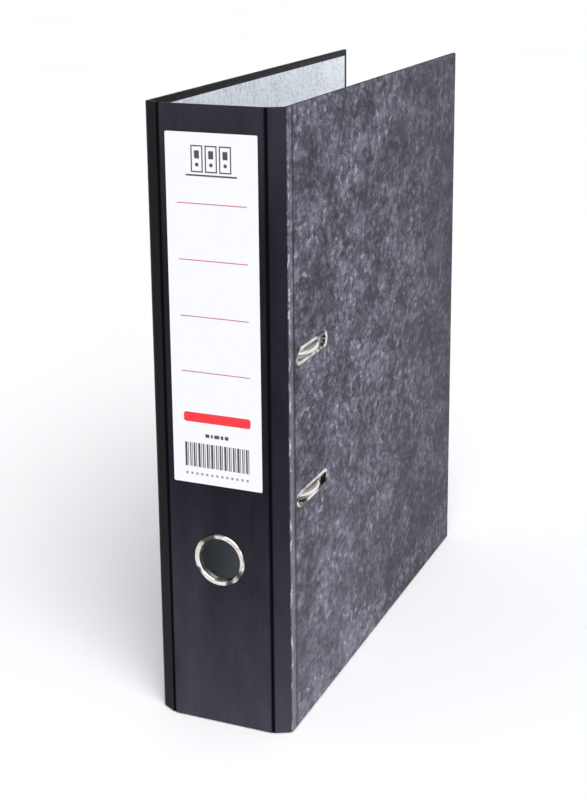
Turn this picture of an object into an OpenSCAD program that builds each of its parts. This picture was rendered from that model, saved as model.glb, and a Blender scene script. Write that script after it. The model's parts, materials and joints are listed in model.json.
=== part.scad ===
// Lever arch file, closed and standing on its bottom edge. The spine faces -Y,
// the front cover is on +X, and the filing mechanism is inside the back cover on -X.

/* [Case] */
// Height of the file
file_h = 345; // [290:1:420]
// Depth from the spine's face to the covers' free edges
file_d = 290; // [240:1:350]
// Width over both covers
file_w = 80; // [66:1:98]
// Width of the slanting strip between the spine and a cover, along X
strip_w = 9.7; // [8:0.1:12]
// Depth of the slanting strip, along Y
strip_d = 5.1; // [4:0.1:7]
// Thickness of the grey board
board_t = 2; // [1.6:0.1:2.4]
// Thickness of the covering and lining paper
paper_t = 0.3; // [0.2:0.05:0.4]
// Width of the covering paper turned in over an edge
turn_in = 4; // [2:0.5:8]
// Gap between two boards where the case folds
crease_gap = 0.5; // [0.4:0.1:1]

/* [Spine label and finger ring] */
// Flat spine left clear on each side of the label
label_margin = 4.3; // [3:0.1:8]
// Height of the label
label_h = 190; // [150:1:200]
// Gap from the top of the file to the label
label_top_gap = 14.2; // [8:0.1:30]
// Thickness of the label
label_t = 0.2; // [0.1:0.05:0.3]
// Distance from the bottom of the label down to the ring's centre
ring_drop = 42.7; // [25:0.1:60]
// Clear diameter of the finger ring
ring_d = 24; // [18:0.5:26]
// Width of the finger ring's flange
ring_flange_w = 3; // [2:0.1:4]
// How far the finger ring stands proud of the spine
ring_proud = 1; // [0.6:0.1:1.5]

/* [Slots in the front cover] */
// Clear length of a slot
slot_l = 40; // [38:0.5:48]
// Clear height of a slot
slot_h = 5.5; // [5:0.1:7]
// Width of the metal edging round a slot
eyelet_flange_w = 2.2; // [1.5:0.1:3]
// Thickness of the metal edging
eyelet_t = 0.5; // [0.3:0.05:0.8]

/* [Arches and posts] */
// Distance between the two filing holes
hole_pitch = 80; // [70:1:96]
// Diameter of the bow's wire and of the posts
wire_d = 4; // [3.6:0.1:4.8]
// Distance from the bow's shaft to the posts
arch_w = 40; // [36:0.5:44]
// Distance from the spine's face to the bow's shaft
bow_y = 15.6; // [14.8:0.1:17]
// How far the arches stand proud of the front cover
arch_proud = 2.5; // [1:0.1:3]
// Length of an arch's straight tail above the post
tail_l = 6; // [4:0.5:12]
// Reach of the bow's crank
crank_reach = 18; // [16:0.5:19]
// Angle that the bow swings when it opens
bow_swing = 45; // [40:1:45]
// Angle that the lever swings when it opens the bow
lever_swing = 90; // [80:1:90]

/* [Mechanism] */
// Width of the base plate, along Y
plate_w = 58; // [56:0.5:64]
// Length of the base plate, along Z
plate_l = 155; // [150:1:186]
// Thickness of the base plate
plate_t = 1.2; // [1:0.1:1.6]
// Height of the base plate's folded rims
rim_h = 3; // [2:0.1:3.5]
// Height of the bow's shaft above the back lining
shaft_h = 5; // [4.6:0.1:6]
// Diameter of a rivet's shank
rivet_d = 4.4; // [3:0.1:5]
// Length of the lever from its pin to its end
lever_l = 65; // [54:0.5:65]
// Inner width of the lever between its cheeks
lever_w = 8; // [7.6:0.1:9]
// Thickness of the lever's and the bracket's steel
lever_t = 1.2; // [1:0.1:1.3]
// Diameter of the lever's roller
roller_d = 10; // [9:0.1:10.4]
// Width of the paper compressor, along Y
press_w = 18; // [16:0.5:20]
// Length of the paper compressor, along Z
press_l = 121; // [116:1:150]

/* [Clearances] */
// Radial clearance of a turning pin
run_gap = 0.05; // [0.02:0.01:0.08]
// Clearance round what is pressed or riveted in
seat_gap = 0.05; // [0.02:0.01:0.1]
// Side clearance between moving pieces
side_gap = 0.3; // [0.2:0.05:0.4]
// Rest gap between the roller and the bow's crank
roller_gap = 0.4; // [0.35:0.05:0.6]

/* [Hidden] */
$fn = 96;
eps = 1;

// The case: layers from the outer face inwards
case_t = board_t + 2 * paper_t;
lining_at = paper_t + board_t;
spine_w = file_w - 2 * strip_w;
strip_l = norm([strip_w, strip_d]);
spine_fold = atan2(strip_d, strip_w);
cover_fold = 90 - spine_fold;
cover_l = file_d - strip_d;
inner_x = file_w / 2 - case_t;
mid_z = file_h / 2;

// Label and finger ring
label_w = spine_w - 2 * label_margin;
label_z = file_h - label_top_gap - label_h;
ring_z = label_z - ring_drop;
ring_wall = 0.5;
ring_collar_t = 0.6;

// Arches, with x counted from the bow's shaft
wire_r = wire_d / 2;
shaft_x = shaft_h - inner_x;
post_y = bow_y + arch_w;
arch_y = bow_y + arch_w / 2;
arch_r = arch_w / 2;
arch_peak = file_w / 2 + arch_proud - wire_r - shaft_x;
shoulder_x = arch_peak - arch_r;
leg_bend_r = 6;
crank_bend_r = 3.5;
post_top_gap = 0.3;
post_h = shaft_h + shoulder_x - tail_l - post_top_gap;
post_foot_r = 4;
post_foot_t = 1;

// Lever: the roller's arm lifts as far as the crank rises
roller_lift = crank_reach * sin(bow_swing);
roller_turn = 33.8;
roller_arm = roller_lift / (sin(lever_swing - roller_turn) + sin(roller_turn));
roller_x = -roller_arm * sin(roller_turn);
roller_z = -roller_arm * cos(roller_turn);
roller_r = roller_d / 2;
lever_h = shaft_h + wire_r + roller_gap + roller_r - roller_x;
lever_y = bow_y + crank_reach * (1 + cos(bow_swing)) / 2;
lever_z = mid_z + hole_pitch / 2 - 16.5;
lever_x = lever_h - inner_x;
crank_z0 = lever_z - 18;
crank_z1 = lever_z - 7;
boss_r = 3.4;
roller_boss_r = 2.8;
arm_w = 5;
pin_r = 1.5;
roller_pin_r = 1.25;
web_x = 3;
cheek_x = -2;
lever_out = lever_w / 2 + lever_t;
bracket_in = lever_out + side_gap;
bracket_out = bracket_in + lever_t;
bracket_z0 = -4;
bracket_z1 = 7;
grip_l = 20;
grip_wall = 2;
grip_end = 2;

// Bearings for the bow's shaft
bearing_l = 6;
bearing_wall = 1.6;
bearing_z0 = mid_z - hole_pitch / 2 + leg_bend_r + 4;
bearing_z1 = mid_z + hole_pitch / 2 - leg_bend_r - bearing_l - 1.2;

// Base plate, spring and rivets
plate_y = bow_y - 6.6;
plate_z = mid_z - plate_l / 2;
rivet_head_d = rivet_d + 4;
rivet_head_t = 0.9;
rivet_inset = 7;
spring_w = 7;
spring_t = 0.5;
spring_rivet_z = crank_z0 - 15;
small_rivet_d = 3;
small_head_d = 5;

// Paper compressor
press_rest = plate_t + post_foot_t + side_gap;
press_t = 1.2;
press_rim = 3;
bush_r = 4.6;
bush_flange_r = 6;
bush_h = 7;

// The model's origin is the middle of the base of everything above
low_x = -file_w / 2 - rivet_head_t;
high_x = file_w / 2 + arch_proud;
low_y = -ring_proud;

wrap_black = [0.11, 0.12, 0.15];
marble_grey = [0.32, 0.31, 0.36];
lining_grey = [0.8, 0.83, 0.87];
board_grey = [0.55, 0.53, 0.5];
nickel = [0.8, 0.8, 0.82];
label_white = [0.95, 0.95, 0.96];
plastic_black = [0.08, 0.08, 0.09];

// Offset of a board's end from the fold line at a depth t, for a fold of angle a
function mitre(t, a) = a == 0 ? 0 : crease_gap / 2 / cos(a / 2) + t * tan(a / 2);

module placed() {
    translate([-(low_x + high_x) / 2, -(low_y + file_d) / 2, 0]) children();
}

module back_side() {
    mirror([1, 0, 0]) children();
}

module at_strip() {
    translate([spine_w / 2, 0, 0]) rotate([0, 0, spine_fold]) children();
}

module at_cover() {
    translate([file_w / 2, strip_d, 0]) rotate([0, 0, 90]) children();
}

// One layer of a panel: along local X, t0 to t1 deep, folded at each end by an angle
module layer(l, t0, t1, fold0, fold1, z0, z1, trim = 0) {
    end1 = fold1 == 0 ? l - trim : l;
    translate([0, 0, z0]) linear_extrude(z1 - z0) polygon([
        [mitre(t0, fold0), t0],
        [end1 - mitre(t0, fold1), t0],
        [end1 - mitre(t1, fold1), t1],
        [mitre(t1, fold0), t1]
    ]);
}

module board_panel(l, fold0, fold1) {
    layer(l, paper_t, lining_at, fold0, fold1, paper_t, file_h - paper_t, paper_t);
}

module lining_panel(l, fold0, fold1) {
    layer(l, lining_at, case_t, fold0, fold1, turn_in, file_h - turn_in, turn_in);
}

// Covering paper: the outer face, the edges, and the margin turned in over them
module wrap_panel(l, fold0, fold1) {
    free_end = fold1 == 0;
    past = 2 * case_t;
    difference() {
        layer(l, 0, case_t, fold0, fold1, 0, file_h);
        translate([-past, paper_t, paper_t])
            cube([l + past + (free_end ? -paper_t : past), board_t, file_h - 2 * paper_t]);
        translate([-past, lining_at - paper_t / 2, turn_in])
            cube([l + past + (free_end ? -turn_in : past), past, file_h - 2 * turn_in]);
    }
}

// A prism with round ends, along X, with its length along Y
module oblong(l, h, t) {
    rotate([0, 90, 0]) linear_extrude(t) union() {
        square([h, l - h], center = true);
        for (s = [-1, 1]) translate([0, s * (l - h) / 2]) circle(d = h);
    }
}

module pin_y(r, y0, y1) {
    translate([0, y0, 0]) rotate([-90, 0, 0]) cylinder(r = r, h = y1 - y0);
}

module pin_x(r, x0, x1) {
    translate([x0, 0, 0]) rotate([0, 90, 0]) cylinder(r = r, h = x1 - x0);
}

module at_slots() {
    for (s = [-1, 1]) translate([0, arch_y, mid_z + s * hole_pitch / 2]) children();
}

module slot_holes() {
    wall = eyelet_t + seat_gap;
    at_slots() translate([inner_x - eps, 0, 0])
        oblong(slot_l + 2 * wall, slot_h + 2 * wall, case_t + 2 * eps);
}

// Plate corners where the mechanism is riveted to the back cover
module at_rivets() {
    for (y = [rivet_inset, plate_w - rivet_inset], z = [rivet_inset, plate_l - rivet_inset])
        translate([0, plate_y + y, plate_z + z]) children();
}

module rivet_holes() {
    at_rivets() pin_x(rivet_d / 2 + seat_gap, -file_w / 2 - eps, plate_t - inner_x + eps);
}

module ring_hole() {
    translate([0, 0, ring_z]) pin_y(ring_d / 2 + ring_wall + seat_gap, -eps, case_t + eps);
}

module back_board() {
    color(board_grey) difference() {
        back_side() at_cover() board_panel(cover_l, cover_fold, 0);
        rivet_holes();
    }
}

module back_cover_paper() {
    color(marble_grey) difference() {
        back_side() at_cover() wrap_panel(cover_l, cover_fold, 0);
        rivet_holes();
    }
}

module back_lining() {
    color(lining_grey) difference() {
        back_side() at_cover() lining_panel(cover_l, cover_fold, 0);
        rivet_holes();
    }
}

module back_strip_board() {
    color(board_grey) back_side() at_strip() board_panel(strip_l, spine_fold, cover_fold);
}

module back_strip_wrap() {
    color(wrap_black) back_side() at_strip() wrap_panel(strip_l, spine_fold, cover_fold);
}

module back_strip_lining() {
    color(lining_grey) back_side() at_strip() lining_panel(strip_l, spine_fold, cover_fold);
}

module spine_board() {
    color(board_grey) difference() {
        translate([-spine_w / 2, 0, 0]) board_panel(spine_w, spine_fold, spine_fold);
        ring_hole();
    }
}

module spine_wrap() {
    color(wrap_black) difference() {
        translate([-spine_w / 2, 0, 0]) wrap_panel(spine_w, spine_fold, spine_fold);
        ring_hole();
    }
}

module spine_lining() {
    color(lining_grey) difference() {
        translate([-spine_w / 2, 0, 0]) lining_panel(spine_w, spine_fold, spine_fold);
        ring_hole();
    }
}

module spine_label() {
    color(label_white) translate([-label_w / 2, -label_t, label_z]) cube([label_w, label_t, label_h]);
}

// Tube through the spine with a rounded flange on its face
module finger_ring() {
    r = ring_d / 2;
    lip = ring_proud / 2;
    color(nickel) translate([0, 0, ring_z]) rotate([90, 0, 0]) rotate_extrude() union() {
        translate([r, -case_t - ring_collar_t]) square([ring_wall, case_t + ring_collar_t + lip]);
        translate([r, 0]) square([ring_flange_w - lip, ring_proud]);
        translate([r + ring_flange_w - lip, lip]) circle(r = lip);
    }
}

module finger_ring_collar() {
    bore = ring_d / 2 + ring_wall + seat_gap;
    color(nickel) translate([0, 0, ring_z]) difference() {
        pin_y(ring_d / 2 + ring_flange_w, case_t, case_t + ring_collar_t);
        pin_y(bore, 0, case_t + ring_collar_t + eps);
    }
}

module front_strip_board() {
    color(board_grey) at_strip() board_panel(strip_l, spine_fold, cover_fold);
}

module front_strip_wrap() {
    color(wrap_black) at_strip() wrap_panel(strip_l, spine_fold, cover_fold);
}

module front_strip_lining() {
    color(lining_grey) at_strip() lining_panel(strip_l, spine_fold, cover_fold);
}

module front_board() {
    color(board_grey) difference() {
        at_cover() board_panel(cover_l, cover_fold, 0);
        slot_holes();
    }
}

module front_cover_paper() {
    color(marble_grey) difference() {
        at_cover() wrap_panel(cover_l, cover_fold, 0);
        slot_holes();
    }
}

module front_lining() {
    color(lining_grey) difference() {
        at_cover() lining_panel(cover_l, cover_fold, 0);
        slot_holes();
    }
}

// Metal edging of one slot: a tube through the cover and a flange on its face
module slot_eyelet(side) {
    wide = 2 * eyelet_flange_w;
    color(nickel) translate([inner_x - eyelet_t, arch_y, mid_z + side * hole_pitch / 2]) difference() {
        union() {
            oblong(slot_l + 2 * eyelet_t, slot_h + 2 * eyelet_t, case_t + 2 * eyelet_t);
            translate([case_t + eyelet_t, 0, 0]) oblong(slot_l + wide, slot_h + wide, eyelet_t);
        }
        translate([-eps, 0, 0]) oblong(slot_l, slot_h, case_t + 2 * eyelet_t + 2 * eps);
    }
}

module slot_collar(side) {
    wide = 2 * eyelet_flange_w;
    wall = eyelet_t + seat_gap;
    color(nickel) translate([inner_x - eyelet_t, arch_y, mid_z + side * hole_pitch / 2]) difference() {
        oblong(slot_l + wide, slot_h + wide, eyelet_t);
        translate([-eps, 0, 0]) oblong(slot_l + 2 * wall, slot_h + 2 * wall, eyelet_t + 2 * eps);
    }
}

module slot_eyelet_lower() {
    slot_eyelet(-1);
}

module slot_eyelet_upper() {
    slot_eyelet(1);
}

module slot_collar_lower() {
    slot_collar(-1);
}

module slot_collar_upper() {
    slot_collar(1);
}

module at_posts() {
    for (s = [-1, 1]) translate([-inner_x, post_y, mid_z + s * hole_pitch / 2]) children();
}

// A folded loop that carries the bow's shaft
module bearing(z0) {
    r = wire_r + run_gap + bearing_wall;
    translate([shaft_x, bow_y, z0]) cylinder(r = r, h = bearing_l);
    translate([plate_t / 2 - inner_x, bow_y - r, z0]) cube([shaft_h - plate_t / 2, 2 * r, bearing_l]);
}

module base_plate() {
    rim_t = plate_t;
    color(nickel) difference() {
        union() {
            translate([-inner_x, plate_y, plate_z]) cube([plate_t, plate_w, plate_l]);
            for (y = [0, plate_w - rim_t])
                translate([-inner_x, plate_y + y, plate_z]) cube([rim_h, rim_t, plate_l]);
            bearing(bearing_z0);
            bearing(bearing_z1);
        }
        translate([shaft_x, bow_y, bearing_z0 - eps])
            cylinder(r = wire_r + run_gap, h = bearing_z1 + bearing_l - bearing_z0 + 2 * eps);
        rivet_holes();
        at_posts() pin_x(wire_r + seat_gap, -eps, plate_t + eps);
        at_spring_rivet() pin_x(small_rivet_d / 2 + seat_gap, -eps, plate_t + eps);
        at_bracket_rivet() pin_x(small_rivet_d / 2 + seat_gap, -eps, plate_t + eps);
    }
}

module mechanism_rivets() {
    color(nickel) at_rivets() {
        pin_x(rivet_head_d / 2, low_x, -file_w / 2);
        pin_x(rivet_d / 2, low_x, plate_t - inner_x + rivet_head_t);
        pin_x(rivet_head_d / 2, plate_t - inner_x, plate_t - inner_x + rivet_head_t);
    }
}

module at_pivot() {
    translate([lever_x, lever_y, lever_z]) children();
}

module at_bracket_rivet() {
    translate([-inner_x, lever_y, lever_z + bracket_z1 + small_head_d / 2 + 1]) children();
}

// A folded bracket whose two ears hold the lever's pin
module lever_bracket() {
    floor_h = plate_t + lever_t;
    foot = small_head_d + 2;
    color(nickel) difference() {
        at_pivot() union() {
            for (y = [-bracket_out, bracket_in]) {
                translate([plate_t - lever_h, y, bracket_z0])
                    cube([lever_h - plate_t, lever_t, bracket_z1 - bracket_z0]);
                pin_y(-bracket_z0, y, y + lever_t);
            }
            translate([plate_t - lever_h, -bracket_out, bracket_z0])
                cube([lever_t, 2 * bracket_out, bracket_z1 - bracket_z0 + foot]);
        }
        at_pivot() pin_y(pin_r + seat_gap, -bracket_out - eps, bracket_out + eps);
        at_bracket_rivet() pin_x(small_rivet_d / 2 + seat_gap, -eps, floor_h + eps);
    }
}

module bracket_rivet() {
    top = plate_t + lever_t;
    color(nickel) at_bracket_rivet() {
        pin_x(small_rivet_d / 2, 0, top + rivet_head_t);
        pin_x(small_head_d / 2, top, top + rivet_head_t);
    }
}

module at_spring_rivet() {
    translate([-inner_x, lever_y, spring_rivet_z]) children();
}

// A flat spring that lies under the crank and pushes the bow open
module bow_spring() {
    set_h = shaft_h - wire_r - side_gap - spring_t;
    color(nickel) difference() {
        translate([-inner_x, lever_y + spring_w / 2, spring_rivet_z]) rotate([90, 0, 0])
            linear_extrude(spring_w) polygon([
                [plate_t, -5],
                [plate_t, 5],
                [set_h, crank_z0 - spring_rivet_z],
                [set_h, crank_z1 - spring_rivet_z],
                [set_h + spring_t, crank_z1 - spring_rivet_z],
                [set_h + spring_t, crank_z0 - spring_rivet_z],
                [plate_t + spring_t, 5],
                [plate_t + spring_t, -5]
            ]);
        at_spring_rivet() pin_x(small_rivet_d / 2 + seat_gap, 0, plate_t + spring_t + eps);
    }
}

module spring_rivet() {
    top = plate_t + spring_t;
    color(nickel) at_spring_rivet() {
        pin_x(small_rivet_d / 2, 0, top + rivet_head_t);
        pin_x(small_head_d / 2, top, top + rivet_head_t);
    }
}

// A straight post with a foot on the base plate
module filing_post(side) {
    color(nickel) translate([-inner_x, post_y, mid_z + side * hole_pitch / 2]) {
        pin_x(wire_r, 0, post_h);
        pin_x(post_foot_r, plate_t, plate_t + post_foot_t);
    }
}

module filing_post_lower() {
    filing_post(-1);
}

module filing_post_upper() {
    filing_post(1);
}

// Part of a bent wire: an arc of radius r from angle a0 to a1 in the XY plane
module bend(r, a0, a1) {
    rotate([0, 0, a0]) rotate_extrude(angle = a1 - a0) translate([r, 0]) circle(r = wire_r);
}

// One arch above the shaft, in the plane z = 0
module arch() {
    pin_x(wire_r, leg_bend_r, shoulder_x);
    translate([shoulder_x, arch_r, 0]) bend(arch_r, -90, 90);
    translate([0, arch_w, 0]) pin_x(wire_r, shoulder_x - tail_l, shoulder_x);
}

module shaft(z0, z1) {
    translate([0, 0, z0]) cylinder(r = wire_r, h = z1 - z0);
}

// One wire bent into two arches, with a crank between its bearings
module arch_bow() {
    half = hole_pitch / 2;
    low = crank_z0 - mid_z;
    high = crank_z1 - mid_z;
    color(nickel) translate([shaft_x, bow_y, mid_z]) union() {
        translate([0, 0, -half]) arch();
        translate([0, 0, half]) arch();
        translate([leg_bend_r, 0, leg_bend_r - half]) rotate([90, 0, 0]) bend(leg_bend_r, 180, 270);
        translate([leg_bend_r, 0, half - leg_bend_r]) rotate([90, 0, 0]) bend(leg_bend_r, 90, 180);
        shaft(leg_bend_r - half, low - crank_bend_r);
        shaft(high + crank_bend_r, half - leg_bend_r);
        rotate([90, 0, 90]) {
            translate([crank_bend_r, low - crank_bend_r, 0]) bend(crank_bend_r, 90, 180);
            translate([crank_reach - crank_bend_r, low + crank_bend_r, 0]) bend(crank_bend_r, 270, 360);
            translate([crank_reach - crank_bend_r, high - crank_bend_r, 0]) bend(crank_bend_r, 0, 90);
            translate([crank_bend_r, high + crank_bend_r, 0]) bend(crank_bend_r, 180, 270);
        }
        for (z = [low, high])
            translate([0, 0, z]) pin_y(wire_r, crank_bend_r, crank_reach - crank_bend_r);
        translate([0, crank_reach, 0]) shaft(low + crank_bend_r, high - crank_bend_r);
    }
}

// One cheek of the lever, from the pin down to the roller and along to the end
module lever_cheek(y) {
    translate([0, y + lever_t, 0]) rotate([90, 0, 0]) linear_extrude(lever_t) difference() {
        union() {
            circle(r = boss_r);
            translate([roller_x, roller_z]) circle(r = roller_boss_r);
            rotate([0, 0, -roller_turn]) translate([-arm_w / 2, -roller_arm])
                square([arm_w, roller_arm]);
            translate([cheek_x, -lever_l + grip_end])
                square([web_x + lever_t - cheek_x, lever_l - grip_end]);
        }
        circle(r = pin_r + run_gap);
        translate([roller_x, roller_z]) circle(r = roller_pin_r + seat_gap);
    }
}

module lever() {
    color(nickel) at_pivot() {
        lever_cheek(-lever_out);
        lever_cheek(lever_w / 2);
        translate([web_x, -lever_w / 2, -lever_l + grip_end])
            cube([lever_t, lever_w, lever_l - grip_end - boss_r]);
    }
}

// A plastic sleeve pushed over the lever's end
module lever_grip() {
    deep = web_x + lever_t - cheek_x;
    color(plastic_black) at_pivot() difference() {
        translate([cheek_x - grip_wall, -lever_out - grip_wall, -lever_l])
            cube([deep + 2 * grip_wall, 2 * (lever_out + grip_wall), grip_l]);
        translate([cheek_x, -lever_out, -lever_l + grip_end]) cube([deep, 2 * lever_out, grip_l]);
    }
}

module lever_pin() {
    color(nickel) at_pivot() {
        pin_y(pin_r, -bracket_out - lever_t / 2, bracket_out + lever_t / 2);
        for (y = [-bracket_out - lever_t, bracket_out]) pin_y(2 * pin_r, y, y + lever_t);
    }
}

module lever_roller() {
    half = lever_w / 2 - side_gap;
    color(nickel) at_pivot() translate([roller_x, 0, roller_z]) difference() {
        pin_y(roller_r, -half, half);
        pin_y(roller_pin_r + run_gap, -half - eps, half + eps);
    }
}

module roller_pin() {
    color(nickel) at_pivot() translate([roller_x, 0, roller_z]) pin_y(roller_pin_r, -lever_out, lever_out);
}

// A sheet steel bar with turned-up rims that slides on the posts
module compressor_bar() {
    color(nickel) translate([press_rest - inner_x, post_y, mid_z]) difference() {
        union() {
            translate([0, -press_w / 2, -press_l / 2]) cube([press_t, press_w, press_l]);
            for (y = [-press_w / 2, press_w / 2 - press_t])
                translate([0, y, -press_l / 2]) cube([press_rim, press_t, press_l]);
        }
        for (s = [-1, 1])
            translate([0, 0, s * hole_pitch / 2]) pin_x(bush_r + seat_gap, -eps, press_t + eps);
    }
}

module compressor_bush(side) {
    bush_z = mid_z + side * hole_pitch / 2;
    color(plastic_black) translate([press_rest - inner_x, post_y, bush_z]) difference() {
        union() {
            pin_x(bush_r, 0, bush_h);
            pin_x(bush_flange_r, press_t, 2 * press_t);
        }
        pin_x(wire_r + side_gap / 2, -eps, bush_h + eps);
    }
}

module compressor_bush_lower() {
    compressor_bush(-1);
}

module compressor_bush_upper() {
    compressor_bush(1);
}

placed() back_board();
placed() back_cover_paper();
placed() back_lining();
placed() back_strip_board();
placed() back_strip_wrap();
placed() back_strip_lining();
placed() spine_board();
placed() spine_wrap();
placed() spine_lining();
placed() spine_label();
placed() finger_ring();
placed() finger_ring_collar();
placed() front_strip_board();
placed() front_strip_wrap();
placed() front_strip_lining();
placed() front_board();
placed() front_cover_paper();
placed() front_lining();
placed() slot_eyelet_lower();
placed() slot_eyelet_upper();
placed() slot_collar_lower();
placed() slot_collar_upper();
placed() base_plate();
placed() mechanism_rivets();
placed() lever_bracket();
placed() bracket_rivet();
placed() bow_spring();
placed() spring_rivet();
placed() filing_post_lower();
placed() filing_post_upper();
placed() arch_bow();
placed() lever();
placed() lever_grip();
placed() lever_pin();
placed() lever_roller();
placed() roller_pin();
placed() compressor_bar();
placed() compressor_bush_lower();
placed() compressor_bush_upper();
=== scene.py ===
import json
import math

import bmesh
import bpy
from mathutils import Matrix, Vector


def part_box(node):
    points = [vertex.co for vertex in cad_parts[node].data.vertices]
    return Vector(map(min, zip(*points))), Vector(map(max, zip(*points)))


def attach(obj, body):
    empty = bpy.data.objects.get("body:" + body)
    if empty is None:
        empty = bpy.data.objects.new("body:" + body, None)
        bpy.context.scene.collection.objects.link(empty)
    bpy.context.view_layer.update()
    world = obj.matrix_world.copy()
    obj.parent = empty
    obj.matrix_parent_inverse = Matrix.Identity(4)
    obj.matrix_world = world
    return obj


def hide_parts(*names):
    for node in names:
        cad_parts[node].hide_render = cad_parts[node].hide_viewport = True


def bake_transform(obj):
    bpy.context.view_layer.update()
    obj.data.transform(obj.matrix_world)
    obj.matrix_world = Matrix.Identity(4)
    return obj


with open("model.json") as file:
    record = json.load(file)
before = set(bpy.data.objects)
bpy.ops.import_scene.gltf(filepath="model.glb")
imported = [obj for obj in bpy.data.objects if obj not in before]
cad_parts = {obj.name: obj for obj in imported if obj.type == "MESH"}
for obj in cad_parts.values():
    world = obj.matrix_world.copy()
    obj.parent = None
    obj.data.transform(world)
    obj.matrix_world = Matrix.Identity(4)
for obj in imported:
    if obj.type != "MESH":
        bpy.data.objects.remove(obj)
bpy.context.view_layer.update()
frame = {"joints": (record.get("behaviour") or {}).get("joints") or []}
scene = bpy.context.scene
mm = 0.001
joints = {joint["name"]: joint for joint in frame["joints"]}

view = {
    "place": (0.33321, -0.82575, 0.44522),
    "yaw": 23.002,
    "pitch": 14.161,
    "roll": -0.503,
    "lens": 68.12,
    "film": 36,
    "shift": -0.15,
}


def makeCamera():
    data = bpy.data.cameras.new("camera")
    data.sensor_width = view["film"]
    data.lens = view["lens"]
    data.shift_y = view["shift"]
    data.clip_start = 0.01
    yaw, pitch, roll = (math.radians(view[key]) for key in ("yaw", "pitch", "roll"))
    flat = math.cos(pitch)
    forward = Vector((-math.sin(yaw) * flat, math.cos(yaw) * flat, -math.sin(pitch)))
    level = Vector((math.cos(yaw), math.sin(yaw), 0))
    right = level * math.cos(roll) + level.cross(forward) * math.sin(roll)
    turn = Matrix((right, right.cross(forward), -forward)).transposed()
    camera = bpy.data.objects.new("camera", data)
    scene.collection.objects.link(camera)
    camera.matrix_world = Matrix.Translation(view["place"]) @ turn.to_4x4()
    scene.camera = camera


makeCamera()
print("camera placed")


# Mesh helpers: lengths are in millimetres until a piece is made
def nodeBox(name):
    low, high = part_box(name)
    return low / mm, high / mm


def jointPlace(name):
    return Vector(joints[name]["pos_m"]) / mm


def facing(place, axis):  # local Z points along the axis
    sides = {
        "x": ((0, 1, 0), (0, 0, 1), (1, 0, 0)),
        "y": ((0, 0, 1), (1, 0, 0), (0, 1, 0)),
        "-y": ((1, 0, 0), (0, 0, 1), (0, -1, 0)),
    }[axis]
    return Matrix.Translation(place) @ Matrix(sides).transposed().to_4x4()


def alongX(node):  # the middle of a node's low X face, facing +X, and the node's length
    low, high = nodeBox(node)
    return facing((low.x, (low.y + high.y) / 2, (low.z + high.z) / 2), "x"), high.x - low.x


def loft(shape, rings, capped=True, looped=False):
    rows = [[shape.verts.new(point) for point in ring] for ring in rings]
    pairs = list(zip(rows, rows[1:]))
    if looped:
        pairs.append((rows[-1], rows[0]))
    for near, far in pairs:
        for i in range(len(near)):
            j = (i + 1) % len(near)
            shape.faces.new((near[i], near[j], far[j], far[i]))
    if capped:
        shape.faces.new(rows[0][::-1])
        shape.faces.new(rows[-1])


def turned(shape, profile, at, sides=64, half=0, hollow=False):  # half stretches the circle to an oblong
    rings = []
    for radius, height in profile:
        ring = []
        for i in range(sides):
            angle = 2 * math.pi * (i + 0.5) / sides
            push = math.copysign(half, math.cos(angle))
            ring.append(at @ Vector((radius * math.cos(angle) + push, radius * math.sin(angle), height)))
        rings.append(ring)
    loft(shape, rings, capped=not hollow, looped=hollow)


def rounded(points, radius, steps=6, closed=True):  # arcs in place of the corners
    points = [Vector(point).to_3d() for point in points]
    radii = radius if isinstance(radius, list) else [radius] * len(points)
    line = []
    for i, point in enumerate(points):
        atEnd = not closed and i in (0, len(points) - 1)
        if atEnd or radii[i] == 0:
            line.append(point)
            continue
        back = (points[i - 1] - point).normalized()
        ahead = (points[(i + 1) % len(points)] - point).normalized()
        angle = back.angle(ahead)
        reach = radii[i] / math.tan(angle / 2)
        centre = point + (back + ahead).normalized() * radii[i] / math.sin(angle / 2)
        first = point + back * reach - centre
        last = point + ahead * reach - centre
        sweep = first.angle(last)
        for k in range(steps + 1):
            share = k / steps
            arm = first * math.sin((1 - share) * sweep) + last * math.sin(share * sweep)
            line.append(centre + arm / math.sin(sweep))
    return line


def extruded(shape, outline, depth, at):  # an outline in local XY, raised along local Z
    lower = [at @ Vector((point[0], point[1], 0)) for point in outline]
    upper = [at @ Vector((point[0], point[1], depth)) for point in outline]
    loft(shape, [lower, upper])


def slab(shape, low, high):
    outline = [(low[0], low[1]), (high[0], low[1]), (high[0], high[1]), (low[0], high[1])]
    extruded(shape, outline, high[2] - low[2], Matrix.Translation((0, 0, low[2])))


def wire(shape, path, radius, sides=24):
    line = [path[0]]
    for point in path[1:]:
        if (point - line[-1]).length > 1e-3:
            line.append(point)
    across = (line[1] - line[0]).orthogonal().normalized()
    ends = [(0, 0.74), (0.06, 0.86), (0.16, 0.95), (0.32, 1)]  # rounded ends, as advance and width in radii
    rings = []
    for i, point in enumerate(line):
        heading = (line[min(i + 1, len(line) - 1)] - line[max(i - 1, 0)]).normalized()
        across = (across - heading * across.dot(heading)).normalized()
        side = heading.cross(across)
        spots = [(point, radius)]
        if i == 0:
            spots = [(point + heading * step * radius, radius * width) for step, width in ends]
        if i == len(line) - 1:
            spots = [(point - heading * step * radius, radius * width) for step, width in ends[::-1]]
        for spot, reach in spots:
            angles = [2 * math.pi * k / sides for k in range(sides)]
            rings.append([spot + (across * math.cos(a) + side * math.sin(a)) * reach for a in angles])
    loft(shape, rings)


def settle(piece):  # the modifiers become the mesh
    seen = piece.evaluated_get(bpy.context.evaluated_depsgraph_get())
    mesh = bpy.data.meshes.new_from_object(seen)
    before = piece.data
    piece.modifiers.clear()
    piece.data = mesh
    bpy.data.meshes.remove(before)


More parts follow.
